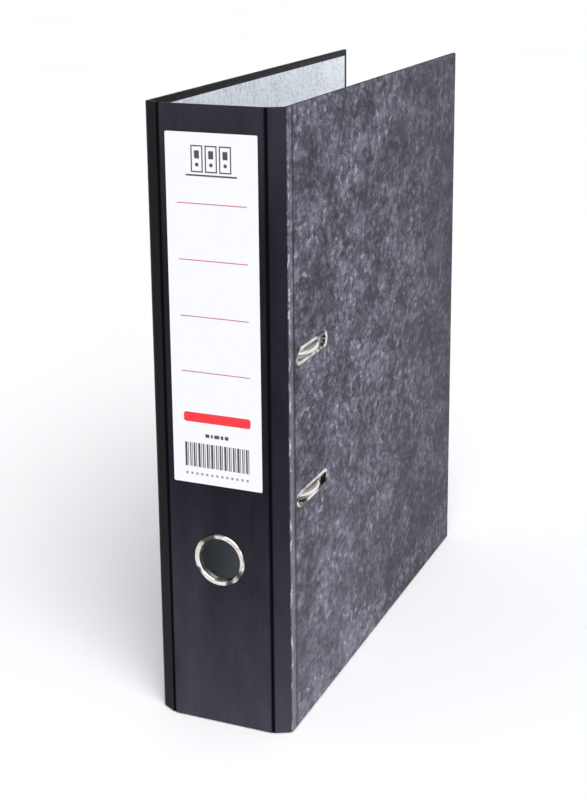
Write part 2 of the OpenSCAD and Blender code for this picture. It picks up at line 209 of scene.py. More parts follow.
def soften(piece, width):  # small rounds along the sharp edges
    bevel = piece.modifiers.new("soften", "BEVEL")
    bevel.width = width * mm
    bevel.segments = 2
    bevel.limit_method = "ANGLE"
    bevel.angle_limit = math.radians(40)
    settle(piece)


def makePiece(name, shape, finish, edge=0.0):
    bmesh.ops.remove_doubles(shape, verts=shape.verts, dist=2e-4)
    bmesh.ops.recalc_face_normals(shape, faces=shape.faces)
    bmesh.ops.scale(shape, vec=(mm, mm, mm), verts=shape.verts)
    mesh = bpy.data.meshes.new(name)
    shape.to_mesh(mesh)
    shape.free()
    mesh.materials.append(finish)
    piece = bpy.data.objects.new(name, mesh)
    scene.collection.objects.link(piece)
    if edge:
        soften(piece, edge)
    return piece


def combine(piece, others, operation="DIFFERENCE"):
    for other in others:
        change = piece.modifiers.new("combine", "BOOLEAN")
        change.operation = operation
        change.solver = "EXACT"
        change.object = other
    settle(piece)
    for other in others:
        bpy.data.objects.remove(other)
    return piece


def smooth(piece, sharp=35, weigh=True):
    piece.data.shade_smooth()
    piece.data.set_sharp_from_angle(angle=math.radians(sharp))
    if weigh:
        normals = piece.modifiers.new("normals", "WEIGHTED_NORMAL")
        normals.keep_sharp = True
        settle(piece)
    mesh = piece.data
    places = mesh.attributes.new("restPlace", "FLOAT_VECTOR", "POINT")
    places.data.foreach_set("vector", [value for vertex in mesh.vertices for value in vertex.co])


def mount(piece, body, slot, *nodes, sharp=35):
    smooth(piece, sharp)
    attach(piece, body)
    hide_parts(*nodes)


def fit(name, shape, finish, body, slot, *nodes, edge=0.0, sharp=35):  # a shape becomes a mounted piece
    mount(makePiece(name, shape, finish, edge), body, slot, *nodes, sharp=sharp)


# Finish helpers
def newFinish(name):
    finish = bpy.data.materials.new(name)
    finish.use_nodes = True
    return finish, finish.node_tree, finish.node_tree.nodes["Principled BSDF"]


def add(tree, kind, sockets=None, **settings):
    node = tree.nodes.new("ShaderNode" + kind)
    for key, value in settings.items():
        setattr(node, key, value)
    for key, value in (sockets or {}).items():
        if isinstance(value, bpy.types.NodeSocket):
            tree.links.new(value, node.inputs[key])
        else:
            node.inputs[key].default_value = value
    return node


def restPlace(tree, stretch=(1, 1, 1)):
    place = add(tree, "Attribute", attribute_name="restPlace").outputs["Vector"]
    return add(tree, "Mapping", {"Vector": place, "Scale": stretch}).outputs[0]


def clouds(tree, place, scale, detail=4.0, rough=0.6, twist=0.0):
    sockets = {"Vector": place, "Scale": scale, "Detail": detail, "Roughness": rough, "Distortion": twist}
    return add(tree, "TexNoise", sockets).outputs["Fac"]


def ramp(tree, value, *stops):
    node = add(tree, "ValToRGB", {"Fac": value})
    elements = node.color_ramp.elements
    elements[0].position = stops[0][0]
    elements[0].color = (*stops[0][1], 1)
    elements[1].position = stops[-1][0]
    elements[1].color = (*stops[-1][1], 1)
    for position, colour in stops[1:-1]:
        elements.new(position).color = (*colour, 1)
    return node.outputs["Color"]


def spread(tree, value, low, high, toLow=0.0, toHigh=1.0):
    sockets = {"Value": value, "From Min": low, "From Max": high, "To Min": toLow, "To Max": toHigh}
    return add(tree, "MapRange", sockets).outputs[0]


def calc(tree, operation, first, second=0.0):
    return add(tree, "Math", {0: first, 1: second}, operation=operation).outputs[0]


def times(tree, first, second):
    return calc(tree, "MULTIPLY", first, second)


def mixed(tree, share, first, second, mode="MIX"):
    sockets = {0: share, 6: first, 7: second}
    return add(tree, "Mix", sockets, data_type="RGBA", blend_type=mode).outputs[2]


def coat(tree, shader, colour, rough, specular=0.5):
    tree.links.new(colour, shader.inputs["Base Color"])
    tree.links.new(rough, shader.inputs["Roughness"])
    shader.inputs["Specular IOR Level"].default_value = specular


def bump(tree, shader, height, strength, depth):
    sockets = {"Height": height, "Strength": strength, "Distance": depth * mm}
    tree.links.new(add(tree, "Bump", sockets).outputs[0], shader.inputs["Normal"])


def band(tree, value, centre, half):  # 1 at the centre, 0 half away from it
    away = calc(tree, "ABSOLUTE", calc(tree, "SUBTRACT", value, centre))
    return spread(tree, away, half, half * 0.3)


def makeMarbledPaper():
    marbling = {
        "dark": (0.017, 0.015, 0.026),
        "middle": (0.062, 0.059, 0.087),
        "pale": (0.165, 0.158, 0.208),
        "fleck": (0.330, 0.320, 0.380),
        "edge": (0.003, 0.003, 0.005),
        # the two colours below paint the highlight on the rounded fold between cover and strip, broken up
        # like rubbed and worn paper
        "rubbed": (0.135, 0.131, 0.160),
        "litBare": (0.62, 0.61, 0.66),
        "foldLine": -0.1394,  # places and widths here are in metres
        "litRubbedBand": (0.0020, 0.0036),  # how far in from the fold, and half the width
        "litBareBand": (0.0002, 0.0019),
        "shadeBand": (0.0064, 0.0016),
        "farShadeFrom": -0.02,
        "farEnd": 0.1455,
        "farRim": (0.0020, 0.0006),
        "halfWide": 0.0400,
        "sideRim": (0.0003, 0.0009),
        "middleX": -0.0008,
    }
    finish, tree, shader = newFinish("marbledPaper")
    place = restPlace(tree)
    laid = restPlace(tree, (1, 0.75, 1))
    flecks = clouds(tree, laid, 370, 6, 0.76)
    veins = clouds(tree, laid, 115, 4, 0.62, 0.4)
    patches = clouds(tree, laid, 32, 3, 0.6)
    sparks = clouds(tree, laid, 230, 3, 0.62)
    value = calc(tree, "ADD", times(tree, flecks, 0.46), times(tree, veins, 0.34))
    value = calc(tree, "ADD", value, times(tree, patches, 0.20))
    tones = ((0.43, marbling["dark"]), (0.50, marbling["middle"]), (0.58, marbling["pale"]))
    colour = ramp(tree, value, *tones)
    sparkle = times(tree, spread(tree, sparks, 0.56, 0.68), spread(tree, patches, 0.42, 0.56))
    colour = mixed(tree, sparkle, colour, (*marbling["fleck"], 1))
    axes = add(tree, "SeparateXYZ", {"Vector": place})
    x, y, z = (axes.outputs[axis] for axis in "XYZ")

    def besideFold(key):  # a line along the fold between cover and strip
        offset, half = marbling[key]
        return band(tree, y, marbling["foldLine"] + offset, half)

    # painted highlight on the fold's ridge, in part rubbed paper, stronger low down
    rubbed = times(tree, besideFold("litRubbedBand"), spread(tree, z, 0.30, 0.16, 0.3, 0.88))
    colour = mixed(tree, rubbed, colour, (*marbling["rubbed"], 1))
    # pale dashes right on the fold: painted highlight, broken up like worn spots
    lengthwise = clouds(tree, restPlace(tree, (1, 1, 0.35)), 230, 4, 0.75)
    dashes = times(tree, besideFold("litBareBand"), spread(tree, lengthwise, 0.52, 0.60))
    colour = mixed(tree, dashes, colour, (*marbling["litBare"], 1))
    shade = times(tree, besideFold("shadeBand"), 0.75)
    colour = mixed(tree, shade, colour, (*marbling["dark"], 1))

    aside = calc(tree, "ABSOLUTE", calc(tree, "SUBTRACT", x, marbling["middleX"]))
    near, far = (marbling["halfWide"] - rim for rim in marbling["sideRim"])
    torn = spread(tree, flecks, 0.68, 0.58, 0.6, 1.0)
    turnedIn = times(tree, spread(tree, aside, near, far), torn)
    near, far = (marbling["farEnd"] - rim for rim in marbling["farRim"])
    turnedIn = calc(tree, "MAXIMUM", turnedIn, spread(tree, y, near, far, 0, 0.9))
    # painted shade: the cover darkens towards its far edge, where the light falls off
    farShade = spread(tree, y, marbling["farShadeFrom"], marbling["farEnd"], 0, 0.62)
    colour = mixed(tree, farShade, colour, (*marbling["dark"], 1))
    foot = times(tree, spread(tree, z, 0.16, 0.0), spread(tree, y, 0.05, -0.06, 0, 0.14))
    colour = mixed(tree, foot, colour, (*marbling["fleck"], 1))
    colour = mixed(tree, turnedIn, colour, (*marbling["edge"], 1))
    coat(tree, shader, colour, spread(tree, flecks, 0.35, 0.7, 0.62, 0.48), 0.2)
    fibres = clouds(tree, place, 1500, 3, 0.7)
    bump(tree, shader, calc(tree, "ADD", fibres, flecks), 0.25, 0.12)
    return finish


def makeSpinePaper():
    film = {
        "dark": (0.0075, 0.0072, 0.0120),
        "worn": (0.0145, 0.0140, 0.0215),
        # lighter film at the foot and head: painted floor reflection, along with scuffs
        "scuffAndReflection": (0.050, 0.048, 0.064),
        # painted shade colour for the fold grooves and the back strip
        "fold": (0.0008, 0.0008, 0.0012),
        "footTop": 0.14,  # places and widths here are in metres
        "headFrom": 0.27,
        "top": 0.345,
        "foldsX": (-0.0311, 0.0295),
        "foldHalf": 0.0016,
        "shadeBehind": 0.002,
    }
    finish, tree, shader = newFinish("spinePaper")
    place = restPlace(tree)
    grain = clouds(tree, place, 900, 4, 0.6)
    rubs = clouds(tree, restPlace(tree, (1, 1, 0.25)), 60, 5, 0.7)
    colour = ramp(tree, rubs, (0.35, film["dark"]), (0.7, film["worn"]))
    axes = add(tree, "SeparateXYZ", {"Vector": place})
    x, z = axes.outputs["X"], axes.outputs["Z"]
    # painted reflection: the film is lighter towards the foot, where the floor reflects in it, and a little
    # lighter at the head, broken up by rubbed patches
    foot = spread(tree, z, film["footTop"], 0.0, 0.0, 0.8)
    head = spread(tree, z, film["headFrom"], film["top"], 0.0, 0.35)
    scuffsAndReflection = times(tree, calc(tree, "ADD", foot, head), spread(tree, rubs, 0.2, 0.8, 0.5, 1.3))
    colour = mixed(tree, scuffsAndReflection, colour, (*film["scuffAndReflection"], 1))
    # painted shade: the pressed grooves at the folds are darkened
    creaseShade = calc(tree, "ADD", *(band(tree, x, fold, film["foldHalf"]) for fold in film["foldsX"]))
    colour = mixed(tree, creaseShade, colour, (*film["fold"], 1))
    # painted shade: the back strip, which faces away from the light, is darkened
    backFold = film["foldsX"][0]
    shadeBehind = spread(tree, x, backFold, backFold - film["shadeBehind"], 0, 0.8)
    colour = mixed(tree, shadeBehind, colour, (*film["fold"], 1))
    gloss = spread(tree, rubs, 0.3, 0.7, 0.30, 0.42)
    coat(tree, shader, colour, calc(tree, "ADD", gloss, times(tree, creaseShade, 0.5)), 0.045)
    bump(tree, shader, grain, 0.3, 0.05)
    return finish


def makeLiningPaper():
    paper = {
        "low": (0.55, 0.59, 0.64),
        "high": (0.86, 0.89, 0.94),
        "fibre": (0.36, 0.40, 0.45),
        "deepShade": (0.035, 0.035, 0.038),
        "deepShadeY": (0.05, -0.08),  # painted shade, darker towards the spine, away from the front cover and low down
        "deepShadeX": (0.033, -0.01),
        "deepShadeZ": (0.31, 0.13),
    }
    finish, tree, shader = newFinish("liningPaper")
    mottle = clouds(tree, restPlace(tree, (1, 0.6, 1)), 520, 4, 0.65, 0.2)
    cloud = clouds(tree, restPlace(tree), 60, 3)
    fibre = clouds(tree, restPlace(tree, (0.4, 0.4, 1)), 700, 4, 0.7, 1.5)
    value = calc(tree, "ADD", times(tree, mottle, 0.7), times(tree, cloud, 0.3))
    colour = ramp(tree, value, (0.34, paper["low"]), (0.54, paper["high"]))
    threads = times(tree, spread(tree, fibre, 0.62, 0.7), 0.4)
    colour = mixed(tree, threads, colour, (*paper["fibre"], 1))
    axes = add(tree, "SeparateXYZ", {"Vector": restPlace(tree)})
    x, y, z = (axes.outputs[axis] for axis in "XYZ")
    # painted shade deep inside the closed case, where little light reaches
    deep = times(tree, spread(tree, y, *paper["deepShadeY"]), spread(tree, x, *paper["deepShadeX"], 0.2, 1))
    deepShadeMask = times(tree, deep, spread(tree, z, *paper["deepShadeZ"], 0, 0.78))
    colour = mixed(tree, deepShadeMask, colour, (*paper["deepShade"], 1))
    coat(tree, shader, colour, spread(tree, mottle, 0.3, 0.7, 0.72, 0.6), 0.3)
    bump(tree, shader, fibre, 0.3, 0.08)
    return finish


def makeGreyBoard():
    board = {"low": (0.20, 0.19, 0.17), "high": (0.34, 0.33, 0.30)}
    finish, tree, shader = newFinish("greyBoard")
    pulp = clouds(tree, restPlace(tree), 600, 6, 0.7)
    colour = ramp(tree, pulp, (0.3, board["low"]), (0.7, board["high"]))
    coat(tree, shader, colour, spread(tree, pulp, 0.3, 0.7, 0.8, 0.95))
    bump(tree, shader, pulp, 0.4, 0.1)
    return finish


def makeNickel(name, dull, tarnishAndReflections):  # the last argument is how strongly the brown patches show: real stains when low, mostly painted dark reflections when high, as on the ring and slot rims
    plating = {"bright": (0.86, 0.83, 0.80), "brown": (0.030, 0.021, 0.017)}
    finish, tree, shader = newFinish(name)
    haze = clouds(tree, restPlace(tree), 120, 4, 0.6)
    scratches = clouds(tree, restPlace(tree, (0.15, 1, 1)), 1800, 3, 0.7)
    colour = ramp(tree, haze, (0.3, dull), (0.62, plating["bright"]))
    # brown patches: real stains, and painted dark reflections where the amount is high
    stainsAndReflections = spread(tree, clouds(tree, restPlace(tree), 70, 3, 0.55), 0.49, 0.56)
    stainsAndReflections = times(tree, stainsAndReflections, tarnishAndReflections)
    colour = mixed(tree, stainsAndReflections, colour, (*plating["brown"], 1))
    scratched = spread(tree, scratches, 0.5, 0.75, 0, 0.12)
    coat(tree, shader, colour, calc(tree, "ADD", spread(tree, haze, 0.3, 0.7, 0.1, 0.2), scratched))
    shader.inputs["Metallic"].default_value = 1
    bump(tree, shader, scratches, 0.08, 0.02)
    return finish


def makeBlackPlastic():
    plastic = {"base": (0.010, 0.010, 0.011), "rubbed": (0.030, 0.030, 0.032)}
    finish, tree, shader = newFinish("blackPlastic")
    pebble = add(tree, "TexVoronoi", {"Vector": restPlace(tree), "Scale": 1800.0}).outputs["Distance"]
    rubs = clouds(tree, restPlace(tree), 150, 4, 0.7)
    colour = ramp(tree, rubs, (0.45, plastic["base"]), (0.75, plastic["rubbed"]))
    coat(tree, shader, colour, spread(tree, rubs, 0.3, 0.7, 0.34, 0.5))
    bump(tree, shader, pebble, 0.2, 0.03)
    return finish


def makePrintedPaper(name, low, high):  # coated label stock in one ink or left white
    finish, tree, shader = newFinish(name)
    chalk = clouds(tree, restPlace(tree), 500, 4, 0.6)
    colour = ramp(tree, chalk, (0.3, low), (0.7, high))
    coat(tree, shader, colour, spread(tree, chalk, 0.3, 0.7, 0.42, 0.54), 0.4)
    bump(tree, shader, clouds(tree, restPlace(tree), 1400, 3, 0.7), 0.12, 0.05)
    return finish


marbledPaper = makeMarbledPaper()
spinePaper = makeSpinePaper()
liningPaper = makeLiningPaper()
greyBoard = makeGreyBoard()
nickel = makeNickel("nickel", (0.72, 0.69, 0.67), 0.04)
# the strong brown patches on these two finishes are painted dark reflections along with tarnish
rimNickel = makeNickel("rimNickel", (0.58, 0.50, 0.46), 0.92)
edgingNickel = makeNickel("edgingNickel", (0.34, 0.28, 0.25), 0.95)
blackPlastic = makeBlackPlastic()
labelPaper = makePrintedPaper("labelPaper", (0.665, 0.668, 0.70), (0.685, 0.688, 0.72))
redInk = makePrintedPaper("redInk", (0.66, 0.014, 0.024), (0.72, 0.022, 0.034))
roseInk = makePrintedPaper("roseInk", (0.40, 0.085, 0.15), (0.46, 0.115, 0.18))
greyInk = makePrintedPaper("greyInk", (0.035, 0.035, 0.050), (0.055, 0.055, 0.070))
paleInk = makePrintedPaper("paleInk", (0.20, 0.20, 0.24), (0.26, 0.26, 0.30))
print("finishes mixed")


# The case, five panels whose outer faces meet at four folds
case = {
    "thick": 2.6,
    "paper": 0.3,
    "turnIn": 4.0,
    "edgeRound": 0.8,
    "edgeSteps": 4,
    "boardGap": 0.25,
    "boardRound": 0.95,
    "grooveDeep": 0.7,
    "grooveWide": 0.75,
    "hemDeep": 0.55,
    "hemWide": 1.2,
    "pressDeep": 0.24,
    "pressWide": 0.7,
    "pressFrom": 5.6,
    "bendHalf": 1.5,
    "seamOnSpine": 3.0,
    "filmEnd": 0.6,
    "coverSeam": 8.0,
    "slideReach": 8.0,
    "pressReach": 1.3,
    "skinLeast": 0.06,
    "fillDeep": 0.35,
    "fillWide": 0.9,
    "liningEdge": 0.06,
    "tuckIn": 0.9,
    "tuckRound": 0.25,
    "tuckSunk": 0.05,
    "tuckHigh": 0.09,
    "tuckEdge": 0.03,
    "cutOver": 1.0,
}
foldNames = ["back_crease", "back_spine_crease", "front_spine_crease", "front_crease"]
folds = [jointPlace(name).to_2d() for name in foldNames]
coverBox = nodeBox("front_cover_paper")
height = coverBox[1].z
coverEnd = coverBox[1].y
caseLine = [Vector((folds[0].x, coverEnd)), *folds, Vector((folds[3].x, coverEnd))]
headings = [(b - a).normalized() for a, b in zip(caseLine, caseLine[1:])]
lengths = [(b - a).length for a, b in zip(caseLine, caseLine[1:])]
turns = [0, *[a.angle(b) for a, b in zip(headings, headings[1:])], 0]
midStrip = lengths[1] / 2


def casePoint(fold, along, depth, z):  # along is counted from the fold, below 0 on the panel before it
    panel = fold if along <= 0 else fold + 1
    x = lengths[panel] + along if along <= 0 else along
    reach = min(case["slideReach"], lengths[panel] / 2)
    slide = math.tan(turns[panel] / 2) * max(0, 1 - x / reach)
    slide -= math.tan(turns[panel + 1] / 2) * max(0, 1 - (lengths[panel] - x) / reach)
    heading = headings[panel]
    inward = Vector((-heading.y, heading.x))
    spot = caseLine[panel] + heading * (x + slide * depth) + inward * depth
    return Vector((spot.x, spot.y, z))


def dent(away, deep, wide):  # a soft hollow, deepest where away is 0
    return deep * math.exp(-((away / wide) ** 2))


def pressed(fold, along):  # how far the covering is pressed in near a fold
    if fold in (1, 2):
        return dent(along, case["grooveDeep"], case["grooveWide"])
    coverSide = along if fold == 3 else -along
    hem = dent(along, case["hemDeep"], case["hemWide"])
    return hem + dent(coverSide - case["pressFrom"], case["pressDeep"], case["pressWide"])


def stations(first, last):  # closer together near the fold
    fine = [0, 0.12, 0.25, 0.4, 0.6, 0.85, 1.1, 1.4, 1.7, 2.1, 2.6, 3.2, 3.9, 4.5, 4.9, 5.2, 5.45, 5.7]
    fine += [5.95, 6.2, 6.5, 7, 8, 12, 20, 40]
    inside = [d for d in sorted({-d for d in fine} | set(fine)) if first + 0.05 < d < last - 0.05]
    return [first, *inside, last]


def wrapSection():  # (depth, z) round the covering: face, edges and turned-in margins
    r, steps = case["edgeRound"], case["edgeSteps"]
    thick, paper, turnIn = case["thick"], case["paper"], case["turnIn"]
    angles = [math.pi / 2 * k / steps for k in range(steps + 1)]
    edge = [(r - r * math.sin(a), r - r * math.cos(a)) for a in angles]
    low = [(thick - d, z) for d, z in edge[::-1]] + edge
    outer = [(thick, turnIn), (thick, r + 0.4), *low, (0, r + 0.5)]
    outer += [(d, height - z) for d, z in outer[::-1]]
    inner = [(thick - paper, height - turnIn), (thick - paper, height - paper), (paper, height - paper)]
    inner += [(d, height - z) for d, z in inner[::-1]]
    return [(d, z, True) for d, z in outer], [(d, z, False) for d, z in inner]


def wrapPiece(name, fold, first, last, finish):
    outer, inner = wrapSection()
    rings = []
    for along in stations(first, last):
        press = pressed(fold, along)
        ring = []
        for depth, z, outside in outer + inner:
            if outside:
                depth += press * max(0, 1 - depth / case["pressReach"])
            elif depth < case["thick"] / 2:
                depth = max(depth, press + case["skinLeast"])
            ring.append(casePoint(fold, along, depth, z))
        rings.append(ring)
    shape = bmesh.new()
    loft(shape, rings)
    return makePiece(name, shape, finish)


def bendAt(piece, fold, slot, *nodes):
    smooth(piece, 32, weigh=False)
    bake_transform(piece)
    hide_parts(*nodes)


def roundCutter(name, radius, at, sides=96, half=0.0):  # goes right through a panel
    shape = bmesh.new()
    turned(shape, [(radius, -3), (radius, 9)], at, sides, half)
    return makePiece(name, shape, greyBoard)


def ringCutter():
    low, high = nodeBox("finger_ring")
    centre = (low + high) / 2
    return roundCutter("ringCutter", fingerRing["hole"], facing((centre.x, low.y, centre.z), "y"))


def slotCutters():
    cutters = []
    for node in ("slot_eyelet_lower", "slot_eyelet_upper"):
        at = alongX(node)[0]
        cutters.append(roundCutter("slotCutter", slotEdging["hole"], at, half=slotEdging["half"]))
    return cutters


def rivetCutters():
    hole, sides = rivets["hole"], rivets["sides"]
    return [roundCutter("rivetCutter", hole, facing(place, "x"), sides) for place in rivetPlaces()]


def makeWrap():
    seam = case["seamOnSpine"]
    hem = case["filmEnd"]
    backHem = wrapPiece("backHemFilm", 0, hem, midStrip, spinePaper)
    bendAt(backHem, 0, "spine_paper", "back_strip_wrap")
    backFold = wrapPiece("backFoldFilm", 1, -midStrip, seam, spinePaper)
    bendAt(backFold, 1, "spine_paper", "back_strip_wrap", "spine_wrap")
    spine = wrapPiece("spineFilm", 2, seam - lengths[2], midStrip, spinePaper)
    combine(spine, [ringCutter()])
    bendAt(spine, 2, "spine_paper", "spine_wrap", "front_strip_wrap")
    frontHem = wrapPiece("frontHemFilm", 3, -midStrip, -hem, spinePaper)
    bendAt(frontHem, 3, "spine_paper", "front_strip_wrap")
    backCrease = wrapPiece("backCreasePaper", 0, -case["coverSeam"], hem, marbledPaper)
    bendAt(backCrease, 0, "marbled_paper", "back_cover_paper")
    frontCrease = wrapPiece("frontCreasePaper", 3, -hem, case["coverSeam"], marbledPaper)
    bendAt(frontCrease, 3, "marbled_paper", "front_cover_paper")
    print("spine and strips wrapped")


def coverSlab(name, node):
    low, high = nodeBox(node)
    seam = folds[0].y + case["coverSeam"]
    shape = bmesh.new()
    slab(shape, (low.x, seam, low.z), high)
    over = case["cutOver"]
    edges = [edge for edge in shape.edges if any(vertex.co.y > seam + over for vertex in edge.verts)]
    bmesh.ops.bevel(
        shape, geom=edges, offset=case["edgeRound"], segments=case["edgeSteps"], profile=0.5, affect="EDGES"
    )
    cover = makePiece(name, shape, marbledPaper)
    paper, turnIn = case["paper"], case["turnIn"]
    hollow = bmesh.new()
    slab(hollow, (low.x + paper, seam - over, paper), (high.x - paper, high.y - paper, high.z - paper))
    window = bmesh.new()
    skin = paper + 0.1
    near, far = (low.x - over, low.x + skin) if node.startswith("front") else (high.x - skin, high.x + over)
    slab(window, (near, seam - over, turnIn), (far, high.y - turnIn, high.z - turnIn))
    return combine(cover, [makePiece("hollow", hollow, greyBoard), makePiece("window", window, greyBoard)])


def cornerTucks(name, faceX, outward):  # the folded corners of the turned-in margin
    shape = bmesh.new()
    for z, way in ((0, 1), (height, -1)):
        near, far = case["tuckIn"], case["turnIn"]
        outline = [(coverEnd - near, near), (coverEnd - far, far), (coverEnd - far, near)]
        rim = rounded(outline, case["tuckRound"], 4)
        rings = []
        for x in (faceX - outward * case["tuckSunk"], faceX + outward * case["tuckHigh"]):
            rings.append([(x, y, z + way * up) for y, up, _ in rim])
        loft(shape, rings)
    return makePiece(name, shape, marbledPaper, case["tuckEdge"])


def makeCovers():
    front = coverSlab("frontCover", "front_cover_paper")
    combine(front, slotCutters())
    mount(front, "front_cover", "marbled_paper", "front_cover_paper")
    back = coverSlab("backCover", "back_cover_paper")
    mount(back, "back_cover", "marbled_paper", "back_cover_paper")
    frontInside = nodeBox("front_cover_paper")[0].x
    backInside = nodeBox("back_cover_paper")[1].x
    mount(cornerTucks("frontCornerTucks", frontInside, -1), "front_cover", "marbled_paper")
    mount(cornerTucks("backCornerTucks", backInside, 1), "back_cover", "marbled_paper")
    print("covers papered")


def liningPiece(name, fold, first, last):
    turnIn, thick, paper = case["turnIn"], case["thick"], case["paper"]
    low, high, soft = turnIn, height - turnIn, case["liningEdge"]
    rings = []
    for along in stations(first, last):
        fill = dent(along, case["fillDeep"], case["fillWide"])
        front, back = thick + fill, thick - paper + fill
        section = [(back, low), (front - soft, low), (front, low + soft), (front, low + 0.5)]
        section += [(front, high - 0.5), (front, high - soft), (front - soft, high), (back, high)]
        rings.append([casePoint(fold, along, depth, z) for depth, z in section])
    shape = bmesh.new()
    loft(shape, rings)
    return makePiece(name, shape, liningPaper)


def makeLining():
    seam, end = case["seamOnSpine"], lengths[0] - case["turnIn"]
    back = liningPiece("backCoverLining", 0, -end, midStrip)
    bendAt(back, 0, "lining_paper", "back_lining", "back_strip_lining")
    backFold = liningPiece("backFoldLining", 1, -midStrip, seam)
    bendAt(backFold, 1, "lining_paper", "back_strip_lining", "spine_lining")
    spine = liningPiece("spineLining", 2, seam - lengths[2], midStrip)
    combine(spine, [ringCutter()])
    bendAt(spine, 2, "lining_paper", "spine_lining", "front_strip_lining")
    front = liningPiece("frontCoverLining", 3, -midStrip, end)
    combine(front, slotCutters())
    bendAt(front, 3, "lining_paper", "front_strip_lining", "front_lining")
    print("case lined")


def boardEnd(turn, depth):
    if turn == 0:
        return case["paper"]
    return case["boardGap"] / math.cos(turn / 2) + depth * math.tan(turn / 2)


def boardPiece(name, panel, body, node, cutters=()):
    outer, inner = case["paper"], case["thick"] - case["paper"]
    long, turn, nextTurn = lengths[panel], turns[panel], turns[panel + 1]
    corners = [(boardEnd(turn, outer), outer), (long - boardEnd(nextTurn, outer), outer)]
    corners += [(long - boardEnd(nextTurn, inner), inner), (boardEnd(turn, inner), inner)]
    heading = headings[panel]
    inward = Vector((-heading.y, heading.x))
    outline = [caseLine[panel] + heading * x + inward * depth for x, depth in corners]
    near, far = (case["boardRound"] if bend else 0 for bend in (turn, nextTurn))
    shape = bmesh.new()
    low = Matrix.Translation((0, 0, case["paper"]))
    extruded(shape, rounded(outline, [near, far, far, near], 6), height - 2 * case["paper"], low)
    board = makePiece(name, shape, greyBoard)
    if cutters:
        combine(board, cutters)
    mount(board, body, "grey_board", node)


def makeBoards():
    boardPiece("backBoard", 0, "back_cover", "back_board", rivetCutters())
    boardPiece("backStripBoard", 1, "back_strip", "back_strip_board")
    boardPiece("spineBoard", 2, "spine", "spine_board", [ringCutter()])
    boardPiece("frontStripBoard", 3, "front_strip", "front_strip_board")
    boardPiece("frontBoard", 4, "front_cover", "front_board", slotCutters())
    print("boards cut")


# The label and its print
label = {
    "round": 0.8,
    "edge": 0.05,
    "inkIn": 0.03,
    "inkOut": 0.02,
    "rules": (36.5, 66.4, 96.7, 127.0),
    "ruleHigh": 0.55,
    "ruleEnds": (0.12, 0.88),  # ends are shares of the label's width
    "bar": (149.9, 155.3),
    "barEnds": (0.13, 0.88),
    "barRound": 1.4,
    "notes": (161.4, 163.4),
    "noteWides": (2.4, 1.2, 3.0, 1.6, 2.2),
    "noteGap": 0.8,
    "noteRound": 0.4,
    "stripes": (167.0, 180.6),
    "stripeEnds": (0.135, 0.86),
    "stripeWides": (1.3, 0.4, 0.7, 0.4, 1.0, 0.5),  # one repeating run, so it stands for no code
    "stripeGaps": (0.4, 0.8, 0.45, 0.6),
    "ticks": (183.8, 185.2),
    "tickCount": 13,
    "tickFrom": 0.14,
    "tickStep": 0.057,
    "tickWide": 0.026,
    "tickRound": 0.2,
}


def inkPatch(shape, left, top, right, bottom, radius=0.0):  # millimetres from the label's top left corner
    low, high = nodeBox("spine_label")
    points = [(left, -bottom), (right, -bottom), (right, -top), (left, -top)]
    outline = rounded(points, radius, 5) if radius else [Vector(point) for point in points]
    at = facing((low.x, low.y + label["inkIn"], high.z), "-y")
    extruded(shape, outline, label["inkIn"] + label["inkOut"], at)


def makeLabel():
    low, high = nodeBox("spine_label")
    wide, tall = high.x - low.x, high.z - low.z
    shape = bmesh.new()
    outline = rounded([(0, 0), (wide, 0), (wide, tall), (0, tall)], label["round"], 6)
    extruded(shape, outline, high.y - low.y, facing((low.x, high.y, low.z), "-y"))
    edge = label["edge"]
    fit("spineLabel", shape, labelPaper, "spine", "label_paper", "spine_label", edge=edge)

    rules = bmesh.new()
    left, right = (wide * share for share in label["ruleEnds"])
    for top in label["rules"]:
        inkPatch(rules, left, top, right, top + label["ruleHigh"])
    fit("labelRules", rules, roseInk, "spine", "label_paper")

    bar = bmesh.new()
    left, right = (wide * share for share in label["barEnds"])
    inkPatch(bar, left, label["bar"][0], right, label["bar"][1], label["barRound"])
    fit("labelBar", bar, redInk, "spine", "label_paper")

    notes = bmesh.new()
    top, bottom = label["notes"]
    gaps = (len(label["noteWides"]) - 1) * label["noteGap"]
    left = (wide - sum(label["noteWides"]) - gaps) / 2
    for long in label["noteWides"]:
        inkPatch(notes, left, top, left + long, bottom, label["noteRound"])
        left += long + label["noteGap"]
    fit("labelNotes", notes, greyInk, "spine", "label_paper")

    ticks = bmesh.new()
    top, bottom = label["ticks"]
    for k in range(label["tickCount"]):
        left = wide * (label["tickFrom"] + label["tickStep"] * k)
        inkPatch(ticks, left, top, left + wide * label["tickWide"], bottom, label["tickRound"])
    fit("labelTicks", ticks, paleInk, "spine", "label_paper")

    stripes = bmesh.new()
    top, bottom = label["stripes"]
    left, right = (wide * share for share in label["stripeEnds"])
    k = 0
    while left < right:
        long = label["stripeWides"][k % len(label["stripeWides"])]
        inkPatch(stripes, left, top, left + long, bottom)
        left += long + label["stripeGaps"][k % len(label["stripeGaps"])]
        k += 1
    fit("labelStripes", stripes, greyInk, "spine", "label_paper")
    makeMark(wide / 2)
    print("label printed")


mark = {  # three files on a shelf, as a plain pictogram
    "files": 3,
    "step": 8.0,
    "left": -11.4,  # from the label's middle
    "wide": 6.8,
    "top": 6.5,
    "bottom": 20.5,
    "line": 0.7,
    "panel": (2.0, 9.2, 4.8, 13.4, 0.4),  # left, top, right, bottom and corner
    "hole": (2.4, 15.5, 4.4, 17.5, 0.95),
    "shelf": (-14.5, 21.6, 14.5, 22.5, 0.3),
}


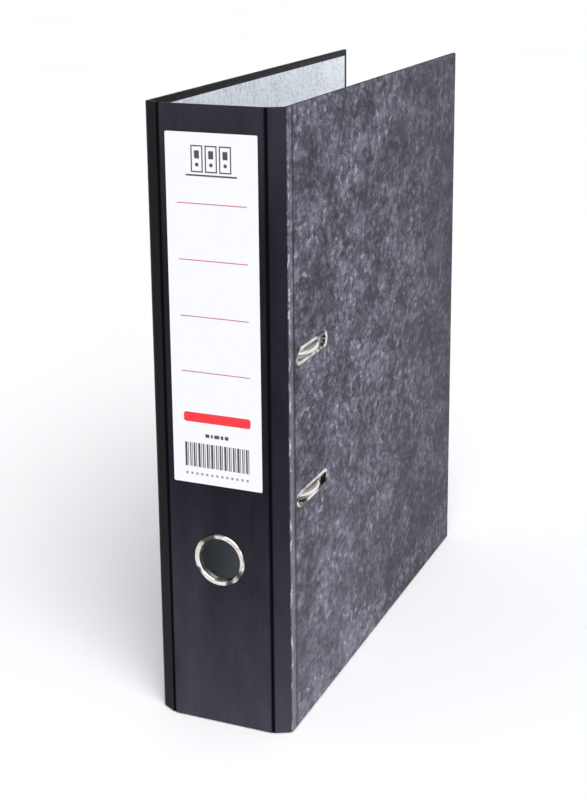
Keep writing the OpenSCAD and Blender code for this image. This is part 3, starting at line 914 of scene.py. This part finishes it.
def makeMark(middle):
    shape = bmesh.new()
    wide, top, bottom, line = mark["wide"], mark["top"], mark["bottom"], mark["line"]
    patches = [(0, top, line, bottom), (wide - line, top, wide, bottom)]
    patches += [(line, top, wide - line, top + line), (line, bottom - line, wide - line, bottom)]
    patches += [mark["panel"], mark["hole"]]
    for k in range(mark["files"]):
        place = middle + mark["left"] + mark["step"] * k
        for left, high, right, low, *corner in patches:
            inkPatch(shape, place + left, high, place + right, low, *corner)
    left, high, right, low, corner = mark["shelf"]
    inkPatch(shape, middle + left, high, middle + right, low, corner)
    fit("labelMark", shape, greyInk, "spine", "label_paper")


# The rolled metal of the finger hole and the slots
fingerRing = {
    "hole": 12.55,
    "bore": 12.0,
    "wall": 12.5,
    "rim": (13.5, 1.5, 1.0, 18),  # middle radius, half its width, height, steps
    "sunk": 0.02,
    "collarOut": 15.0,
    "outerCurl": (14.7, 0.3, 0.3, 0, -90, 4),  # radius, height, curl, from and to in degrees, steps
    "innerCurl": (12.9, 0.2, 0.35, -60, -175, 5),
    "sides": 128,
}
slotEdging = {
    "half": 17.25,  # half the straight part
    "hole": 3.3,
    "bore": 2.75,
    "wall": 3.25,
    "rim": (3.85, 1.1, 0.5, 14),
    "sunk": 0.02,
    "collarOut": 4.95,
    "outerCurl": (4.7, 0.25, 0.25, 0, -90, 4),
    "innerCurl": (3.55, 0.25, 0.25, -90, -180, 4),
    "sides": 160,
}


def arc(middle, high, radius, start, end, steps=6):  # profile points, angles in degrees
    angles = [math.radians(start + (end - start) * k / steps) for k in range(steps + 1)]
    return [(middle + radius * math.cos(a), high + radius * math.sin(a)) for a in angles]


def dome(middle, halfWide, high, steps):  # a rolled rim from the bore out to the flange's edge
    angles = [math.pi * (1 - k / steps) for k in range(steps + 1)]
    return [(middle + halfWide * math.cos(a), high * math.sin(a)) for a in angles]


def rimProfile(form, deep):  # radius and height over the face, for the ring and the slots alike
    return [(form["bore"], deep), *dome(*form["rim"]), (form["wall"], -form["sunk"]), (form["wall"], deep)]


def collarProfile(form, deep, inner):
    profile = [(form["hole"], inner), (form["collarOut"], inner)]
    for middle, high, *curl in (form["outerCurl"], form["innerCurl"]):
        profile += arc(middle, deep + high, *curl)
    return profile


def makeFingerRing():
    low, high = nodeBox("finger_ring")
    centre = (low + high) / 2
    face = nodeBox("spine_wrap")[0].y
    deep = face - high.y
    inner = face - nodeBox("finger_ring_collar")[0].y
    at = facing((centre.x, face, centre.z), "-y")
    shape = bmesh.new()
    turned(shape, rimProfile(fingerRing, deep), at, fingerRing["sides"], hollow=True)
    fit("fingerRing", shape, rimNickel, "spine", "nickel", "finger_ring")
    collar = bmesh.new()
    profile = [(fingerRing["hole"], deep), *collarProfile(fingerRing, deep, inner)]
    turned(collar, profile, at, fingerRing["sides"], hollow=True)
    fit("fingerRingCollar", collar, nickel, "spine", "nickel", "finger_ring_collar")
    print("finger ring rolled")


def makeSlotEdging():
    sides, half = slotEdging["sides"], slotEdging["half"]
    for side in ("lower", "upper"):
        low, high = nodeBox("slot_eyelet_" + side)
        centre = (low + high) / 2
        face = nodeBox("front_cover_paper")[1].x
        deep = low.x - face
        inner = nodeBox("slot_collar_" + side)[1].x - face
        at = facing((face, centre.y, centre.z), "x")
        shape = bmesh.new()
        turned(shape, rimProfile(slotEdging, deep), at, sides, half, hollow=True)
        name = "slotEdging" + side.capitalize()
        fit(name, shape, edgingNickel, "front_cover", "nickel", "slot_eyelet_" + side)
        collar = bmesh.new()
        turned(collar, collarProfile(slotEdging, deep, inner), at, sides, half, hollow=True)
        name = "slotCollar" + side.capitalize()
        fit(name, collar, nickel, "front_cover", "nickel", "slot_collar_" + side)
    print("slots edged")


# The mechanism, riveted to the inside of the back cover
shaft = jointPlace("bow_swing")
pivot = jointPlace("lever_swing")
axle = jointPlace("roller_spin")
linedX = nodeBox("back_cover_paper")[1].x  # the lined face of the back cover

sheet = {  # how both pressed channels are bent
    "cornerSteps": 8,
    "rimDrop": 0.55,  # share of the rim that is gone at the ends
    "outerBend": ((0, 0.9), (0.25, 0.3), (0.9, 0)),
    "innerBend": ((0, 0.9), (0.2, 0.25), (0.8, 0)),
    "beadFrom": 12.0,
    "beadRamp": 4.0,
    "beadSteps": 4,
    "beadClear": 1.0,
}


def beadLine(half, end, beads):  # across the floor, with each bead rising away from the ends
    line = []
    steps = sheet["beadSteps"]
    for place, beadHalf, rise in beads:
        if abs(place) + beadHalf < half - sheet["beadClear"]:
            share = min(1, max(0, end - sheet["beadFrom"]) / sheet["beadRamp"])
            for k in range(-steps, steps + 1):
                bulge = rise * share * (1 + math.cos(math.pi * k / steps)) / 2
                line.append((place + beadHalf * k / steps, bulge))
        else:
            line += [(place, 0)] * (2 * steps + 1)
    return line


def channel(shape, node, form):  # sheet with turned-up rims and raised beads
    low, high = nodeBox(node)
    middle, halfWide = (low.y + high.y) / 2, (high.y - low.y) / 2
    thick, corner, steps = form["thick"], form["corner"], sheet["cornerSteps"]
    angles = [math.pi / 2 * k / steps for k in range(steps + 1)]
    rows = [(low.z + corner * (1 - math.cos(a)), corner * (1 - math.sin(a))) for a in angles]
    rows += [(high.z - z + low.z, cut) for z, cut in rows[::-1]]
    rings = []
    for z, cut in rows:
        lift = form["rim"] * (1 - sheet["rimDrop"] * cut / corner)
        half = halfWide - cut
        inside = half - thick
        beads = beadLine(half, min(z - low.z, high.z - z), form["beads"])
        outer = [(half, lift), *((half - y, up) for y, up in sheet["outerBend"])]
        inner = [(inside, lift), *((inside - y, thick + up) for y, up in sheet["innerBend"])]
        under = [(-y, up) for y, up in outer] + beads + outer[::-1]
        over = [(-y, up) for y, up in inner]
        over += [(min(max(y, -inside), inside), thick + up) for y, up in beads]
        over += inner[::-1]
        rings.append([(low.x + up, middle + y, z) for y, up in under + over[::-1]])
    loft(shape, rings)


plate = {
    "thick": 1.2,
    "rim": 3.0,
    "corner": 5.0,
    "beads": ((-11, 3, 0.5), (18.5, 3, 0.5)),  # place across, half its width, height
    "bearings": (142.5, 199.3),
    "bearingLong": 6.0,
    "bearingWall": 1.55,
    "bearingPlay": 0.05,
    "bearingSteps": 16,
    "edge": 0.12,
}


def makeBasePlate():
    shape = bmesh.new()
    channel(shape, "base_plate", plate)
    bore = bow["wire"] + plate["bearingPlay"]
    outside = bore + plate["bearingWall"]
    foot = linedX + plate["thick"] / 2 - shaft.x
    steps = plate["bearingSteps"]
    outer = [(foot, -outside), *arc(0, 0, outside, -90, 90, steps), (foot, outside)]
    inner = [(foot, bore), *arc(0, 0, bore, 90, -90, steps), (foot, -bore)]
    loop = [Vector((shaft.x + x, shaft.y + y, 0)) for x, y in outer + inner]
    for z in plate["bearings"]:
        extruded(shape, loop, plate["bearingLong"], Matrix.Translation((0, 0, z)))
    fit("basePlate", shape, nickel, "back_cover", "nickel", "base_plate", edge=plate["edge"])


rivets = {
    "head": 4.2,
    "shank": 2.2,
    "hole": 2.25,
    "smallHead": 2.5,
    "smallShank": 1.5,
    "high": 0.9,
    "sides": 40,
    "smallSides": 36,
    "curve": ((0.3, 0), (0.7, 0.1), (0.92, 0.4), (1, 0.85), (1, 1)),  # shares of the radius and height
}


def rivetPlaces():  # the four rivets that hold the base plate
    low, high = nodeBox("mechanism_rivets")
    inset = rivets["head"]
    return [(low.x, y, z) for y in (low.y + inset, high.y - inset) for z in (low.z + inset, high.z - inset)]


def rivetProfile(long, head, shank, lowHead, highHead):
    curve = rivets["curve"]
    profile = [(head * wide, lowHead * up) for wide, up in curve] if lowHead else []
    profile += [(shank, lowHead), (shank, long - highHead)]
    profile += [(head * wide, long - highHead * up) for wide, up in curve[::-1]]
    return profile


def makeRivets():
    low, high = nodeBox("mechanism_rivets")
    shape = bmesh.new()
    profile = rivetProfile(high.x - low.x, rivets["head"], rivets["shank"], rivets["high"], rivets["high"])
    for place in rivetPlaces():
        turned(shape, profile, facing(place, "x"), rivets["sides"])
    fit("mechanismRivets", shape, nickel, "back_cover", "nickel", "mechanism_rivets")
    for node, name in (("bracket_rivet", "bracketRivet"), ("spring_rivet", "springRivet")):
        at, long = alongX(node)
        shape = bmesh.new()
        profile = rivetProfile(long, rivets["smallHead"], rivets["smallShank"], 0, rivets["high"])
        turned(shape, profile, at, rivets["smallSides"])
        fit(name, shape, nickel, "back_cover", "nickel", node)
    print("rivets set")


bow = {
    "wire": 2.0,
    "archWide": 40.0,
    "tail": 6.0,
    "legBend": 6.0,
    "crankBend": 3.5,
    "crankReach": 18.0,
    "crankLow": 178.0,
    "crankHigh": 189.0,
    "bendSteps": 20,
    "sides": 28,
}
post = {
    "foot": ((4, 1.2), (4, 1.9), (3.7, 2.2), (2.6, 2.25), (2.15, 2.5)),  # radius and height
    "neck": 3.2,
    "groove": ((0, 3), (0.12, 2.8), (0.12, 2.3), (0, 2.1)),  # depth, and distance from the tip
    # share of the radius, and distance from the tip
    "tip": ((1, 0.7), (0.93, 0.25), (0.8, 0.05), (0.66, 0)),
    "sides": 40,
}


def makeBow():
    r, arch, leg, crank = bow["wire"], bow["archWide"] / 2, bow["legBend"], bow["crankBend"]
    low, high = nodeBox("arch_bow")
    peak, far = high.x - r, shaft.y + bow["archWide"]
    tail = peak - arch - bow["tail"]
    reach = shaft.y + bow["crankReach"]
    lowZ, highZ = low.z + r, high.z - r
    corners = [(tail, far, lowZ), (peak, far, lowZ), (peak, shaft.y, lowZ), (shaft.x, shaft.y, lowZ)]
    corners += [(shaft.x, y, bow["crankLow"]) for y in (shaft.y, reach)]
    corners += [(shaft.x, y, bow["crankHigh"]) for y in (reach, shaft.y)]
    corners += [(shaft.x, shaft.y, highZ), (peak, shaft.y, highZ), (peak, far, highZ), (tail, far, highZ)]
    radii = [0, arch, arch, leg, crank, crank, crank, crank, leg, arch, arch, 0]
    shape = bmesh.new()
    wire(shape, rounded(corners, radii, bow["bendSteps"], closed=False), r, bow["sides"])
    fit("archBow", shape, nickel, "bow", "nickel", "arch_bow", sharp=50)
    for side in ("lower", "upper"):
        at, long = alongX("filing_post_" + side)
        profile = [(r, 0), (r, post["foot"][0][1]), *post["foot"], (r, post["neck"])]
        profile += [(r - cut, long - down) for cut, down in post["groove"]]
        profile += [(r * share, long - down) for share, down in post["tip"]]
        shape = bmesh.new()
        turned(shape, profile, at, post["sides"])
        name = "filingPost" + side.capitalize()
        fit(name, shape, nickel, "back_cover", "nickel", "filing_post_" + side)
    print("bow bent and posts set")


def alongY(x, y, z):  # outlines in XZ, raised towards +Y
    return Matrix.Translation((x, y, z)) @ Matrix(((1, 0, 0), (0, 0, 1), (0, 1, 0))).to_4x4()


bracket = {
    "thick": 1.2,
    "eye": 4.0,
    "eyeRound": 3.9,
    "waist": -2.0,
    "waistRound": 2.0,
    "shoulder": -11.0,
    "shoulderRound": 3.0,
    "footHigh": 7.0,
    "floorRounds": [0.6, 0.6, 3, 3],
    "edge": 0.18,
}


def makeBracket():
    low, high = nodeBox("lever_bracket")
    base = low.x - pivot.x
    thick, eye, foot = bracket["thick"], bracket["eye"], bracket["footHigh"]
    ear = [(base, -eye), (0, -eye), (eye, -eye), (eye, eye)]
    ear += [(bracket["waist"], eye), (bracket["shoulder"], foot), (base, foot)]
    radii = [0, 0, *[bracket["eyeRound"]] * 2, bracket["waistRound"], bracket["shoulderRound"], 0]
    shape = bmesh.new()
    for y in (low.y, high.y - thick):
        extruded(shape, rounded(ear, radii, 10), -thick, alongY(pivot.x, y + thick, pivot.z))
    piece = makePiece("leverBracket", shape, nickel)
    floor = bmesh.new()
    corners = [(low.y, low.z), (high.y, low.z), (high.y, high.z), (low.y, high.z)]
    outline = rounded(corners, bracket["floorRounds"], 6)
    extruded(floor, outline, thick, facing((low.x, 0, 0), "x"))
    combine(piece, [makePiece("bracketFloor", floor, nickel)], "UNION")
    soften(piece, bracket["edge"])
    mount(piece, "back_cover", "nickel", "lever_bracket")


spring = {
    "thick": 0.5,
    "foot": 10.0,
    "bendTop": 178.0,
    "bend": 8.0,
    "nip": 0.5,  # how much narrower each end is on each side
    "edge": 0.1,
}


def makeSpring():
    low, high = nodeBox("bow_spring")
    thick, bend = spring["thick"], spring["bend"]
    line = [(low.x, low.z), (low.x, low.z + spring["foot"])]
    line += [(high.x - thick, spring["bendTop"]), (high.x - thick, high.z)]
    line = rounded([(x, z, 0) for x, z in line], [0, bend, bend, 0], 8, closed=False)
    rings = []
    for i, point in enumerate(line):
        heading = (line[min(i + 1, len(line) - 1)] - line[max(i - 1, 0)]).normalized()
        upper = point + Vector((heading.y, -heading.x, 0)) * thick
        narrow = spring["nip"] if i in (0, len(line) - 1) else 0
        near, far = low.y + narrow, high.y - narrow
        ends = ((point, near), (upper, near), (upper, far), (point, far))
        rings.append([(spot.x, y, spot.y) for spot, y in ends])
    shape = bmesh.new()
    loft(shape, rings)
    fit("bowSpring", shape, nickel, "back_cover", "nickel", "bow_spring", edge=spring["edge"])


lever = {
    "thick": 1.2,
    "front": -2.0,
    "back": 4.2,
    "eye": 3.4,
    "neck": -3.0,
    "taper": -16.0,
    "cheekRounds": [1.5, 1.5, 1.5, 3, 3, 1.5, 3],
    "lobeFrom": 1.0,
    "lobeHalf": 2.8,
    "lobeRounds": [1, 1, 2.75, 2.75],
    "webTop": -4.0,
    "edge": 0.2,
}


def leverCheek(y, bottom):  # one side of the folded arm, with the lobe that carries the roller
    eye, neck, front, back = lever["eye"], lever["neck"], lever["front"], lever["back"]
    at = alongY(pivot.x, y, pivot.z)
    outline = [(front, bottom), (back, bottom), (back, neck), (eye, eye), (-eye, eye), (-eye, neck)]
    outline.append((front, lever["taper"]))
    shape = bmesh.new()
    extruded(shape, rounded(outline, lever["cheekRounds"], 8), lever["thick"], at)
    cheek = makePiece("cheek", shape, nickel)
    down = Vector((axle.x - pivot.x, axle.z - pivot.z))
    away = down.normalized()
    side = Vector((-away.y, away.x)) * lever["lobeHalf"]
    start, end = -away * lever["lobeFrom"], down + away * lever["lobeHalf"]
    lobe = bmesh.new()
    outline = rounded([start + side, start - side, end - side, end + side], lever["lobeRounds"], 10)
    extruded(lobe, outline, lever["thick"], at)
    return combine(cheek, [makePiece("lobe", lobe, nickel)], "UNION")


def makeLever():
    low, high = nodeBox("lever")
    thick, back = lever["thick"], lever["back"]
    near, far = (leverCheek(y, low.z - pivot.z) for y in (low.y, high.y - thick))
    shape = bmesh.new()
    start = (pivot.x + back - thick, low.y + thick / 2, low.z)
    slab(shape, start, (pivot.x + back, high.y - thick / 2, pivot.z + lever["webTop"]))
    combine(near, [makePiece("web", shape, nickel), far], "UNION")
    near.name = "lever.arm"
    soften(near, lever["edge"])
    mount(near, "lever", "nickel", "lever")


grip = {
    "round": 1.7,
    "wall": 2.0,
    "ribs": 5,
    "ribFrom": 4.5,
    "ribStep": 2.6,
    "ribHigh": 1.0,
    "ribIn": 2.5,
    "ribDeep": 1.2,
    "ribBelow": 0.02,  # the ribs stop this far under the grip's face
    "dish": (3.6, 17.4),
    "dishIn": 2.2,
    "dishDeep": 0.5,
    "dishEdge": 0.3,
    "edge": 0.15,
}


def makeGrip():
    low, high = nodeBox("lever_grip")
    face, wall = high.x, grip["wall"]
    shape = bmesh.new()
    slab(shape, low, high)
    bmesh.ops.bevel(
        shape, geom=shape.edges[:], offset=grip["round"], segments=5, profile=0.5, affect="EDGES"
    )
    piece = makePiece("leverGrip", shape, blackPlastic)
    pocket = bmesh.new()
    slab(pocket, (low.x + wall, low.y + wall, low.z + wall), (face - wall, high.y - wall, high.z + 5))
    ribs = []
    near, far = low.y + grip["ribIn"], high.y - grip["ribIn"]
    for k in range(grip["ribs"]):
        rib = bmesh.new()
        z = low.z + grip["ribFrom"] + grip["ribStep"] * k
        slab(rib, (face - grip["ribDeep"], near, z), (face - grip["ribBelow"], far, z + grip["ribHigh"]))
        ribs.append(makePiece("rib", rib, blackPlastic))
    dish = bmesh.new()
    bottom, top = (low.z + up for up in grip["dish"])
    near, far = low.y + grip["dishIn"], high.y - grip["dishIn"]
    slab(dish, (face - grip["dishDeep"], near, bottom), (face + 1, far, top))
    hollows = [makePiece("pocket", pocket, blackPlastic)]
    hollows.append(makePiece("dish", dish, blackPlastic, grip["dishEdge"]))
    combine(piece, hollows)
    combine(piece, ribs, "UNION")
    soften(piece, grip["edge"])
    mount(piece, "lever", "black_plastic", "lever_grip")


pins = {  # each curve is radius and height, from an end inwards
    "leverHead": 3.0,
    "leverShank": 1.5,
    "leverHeadHigh": 1.2,
    "rollerPin": ((0.8, 0), (1.15, 0.08), (1.25, 0.3)),
    "rollerFace": ((4.6, 0), (4.85, 0.12), (4.95, 0.5), (5, 1.2)),
    "rollerBore": ((2.2, 0), (2.1, 0.3), (1.45, 0.35), (1.3, 0.5)),
}


def bothEnds(curve, long):  # the same curve at both ends of a round part
    return [*curve, *((radius, long - up) for radius, up in curve[::-1])]


def makePins():
    low, high = nodeBox("lever_pin")
    up = pins["leverHeadHigh"]
    profile = rivetProfile(high.y - low.y, pins["leverHead"], pins["leverShank"], up, up)
    shape = bmesh.new()
    turned(shape, profile, facing((pivot.x, low.y, pivot.z), "y"), 40)
    fit("leverPin", shape, nickel, "back_cover", "nickel", "lever_pin")
    low, high = nodeBox("roller_pin")
    shape = bmesh.new()
    profile = bothEnds(pins["rollerPin"], high.y - low.y)
    turned(shape, profile, facing((axle.x, low.y, axle.z), "y"), 32)
    fit("rollerPin", shape, nickel, "lever", "nickel", "roller_pin")
    low, high = nodeBox("lever_roller")
    long = high.y - low.y
    shape = bmesh.new()
    profile = bothEnds(pins["rollerFace"], long) + bothEnds(pins["rollerBore"], long)[::-1]
    turned(shape, profile, facing((axle.x, low.y, axle.z), "y"), 56, hollow=True)
    fit("leverRoller", shape, nickel, "roller", "nickel", "lever_roller")
    print("lever hung")


compressor = {
    "thick": 1.2,
    "rim": 3.0,
    "corner": 6.0,
    "beads": ((0, 2.4, 0.45),),
    "edge": 0.1,
    "bush": (  # radius and height: foot, flange, neck and bore
        *((2.2, 0), (4.4, 0), (4.6, 0.2), (4.6, 1.2)),
        *((5.8, 1.2), (6, 1.4), (6, 2.2), (5.8, 2.4), (4.7, 2.45)),
        *((4.45, 2.8), (4.2, 6.4), (3.9, 6.9), (3.6, 7), (2.7, 7)),
        *((2.3, 6.8), (2.15, 6.4), (2.15, 0.3)),
    ),
}


def makeCompressor():
    shape = bmesh.new()
    channel(shape, "compressor_bar", compressor)
    edge = compressor["edge"]
    fit("compressorBar", shape, nickel, "compressor", "nickel", "compressor_bar", edge=edge)
    for side in ("lower", "upper"):
        shape = bmesh.new()
        turned(shape, compressor["bush"], alongX("compressor_bush_" + side)[0], 48, hollow=True)
        name = "compressorBush" + side.capitalize()
        fit(name, shape, blackPlastic, "compressor", "black_plastic", "compressor_bush_" + side)
    print("compressor set on the posts")


makeWrap()
makeCovers()
makeLining()
makeBoards()
makeLabel()
makeFingerRing()
makeSlotEdging()
makeBasePlate()
makeRivets()
makeBow()
makeBracket()
makeSpring()
makeLever()
makeGrip()
makePins()
makeCompressor()

studio = {
    "floorHalf": 25.0,
    "floorDown": 0.0004,
    "floorColour": ((0.90, 0.90, 0.91), (0.93, 0.93, 0.94)),
    "walls": (1.0, 1.0, 1.0),
    "ceiling": (0.38, 0.39, 0.40),
    "wallTop": 0.16,
    "ceilingFrom": 0.30,
    "sunFrom": (0.42, -0.62, 0.85),
    "sunAngle": 50,
    "sunPower": 2.95,
    "lamps": (  # name, place, what it lights, size and power
        ("sideLamp", (0.75, -0.85, 0.25), (0.04, -0.1, 0.1), 0.5, 0.9),
        ("lowLamp", (-0.5, -1.1, 0.25), (0, -0.14, 0.05), 0.6, 0.6),
    ),
}


def makeFloor():
    half, down = studio["floorHalf"], studio["floorDown"]
    shape = bmesh.new()
    corners = ((-half, -half), (half, -half), (half, half), (-half, half))
    shape.faces.new([shape.verts.new((x, y, -down)) for x, y in corners])
    mesh = bpy.data.meshes.new("floor")
    shape.to_mesh(mesh)
    shape.free()
    finish, tree, shader = newFinish("floorPaper")
    place = add(tree, "TexCoord").outputs["Object"]
    low, high = studio["floorColour"]
    colour = ramp(tree, clouds(tree, place, 2, 3), (0.3, low), (0.7, high))
    tree.links.new(colour, shader.inputs["Base Color"])
    shader.inputs["Roughness"].default_value = 0.8
    shader.inputs["Specular IOR Level"].default_value = 0.2
    mesh.materials.append(finish)
    floor = bpy.data.objects.new("floor", mesh)
    scene.collection.objects.link(floor)


def makeWalls():  # white all round, with a dimmer ceiling
    world = bpy.data.worlds.new("studio")
    world.use_nodes = True
    tree = world.node_tree
    outward = add(tree, "TexCoord").outputs["Generated"]
    upward = add(tree, "SeparateXYZ", {"Vector": outward}).outputs["Z"]
    walls, ceiling = studio["walls"], studio["ceiling"]
    colour = ramp(tree, upward, (studio["wallTop"], walls), (studio["ceilingFrom"], ceiling))
    tree.links.new(colour, tree.nodes["Background"].inputs["Color"])
    scene.world = world


def hangLamp(data):
    lamp = bpy.data.objects.new(data.name, data)
    scene.collection.objects.link(lamp)
    return lamp


def makeLamps():
    sun = bpy.data.lights.new("softSun", "SUN")
    sun.angle = math.radians(studio["sunAngle"])
    sun.energy = studio["sunPower"]
    hangLamp(sun).rotation_euler = Vector(studio["sunFrom"]).to_track_quat("Z", "Y").to_euler()
    for name, place, target, size, power in studio["lamps"]:
        data = bpy.data.lights.new(name, "AREA")
        data.size = size
        data.energy = power
        lamp = hangLamp(data)
        lamp.location = place
        lamp.rotation_euler = (Vector(target) - Vector(place)).to_track_quat("-Z", "Y").to_euler()


makeFloor()
makeWalls()
makeLamps()
scene.view_settings.view_transform = "Standard"
print("studio lit")
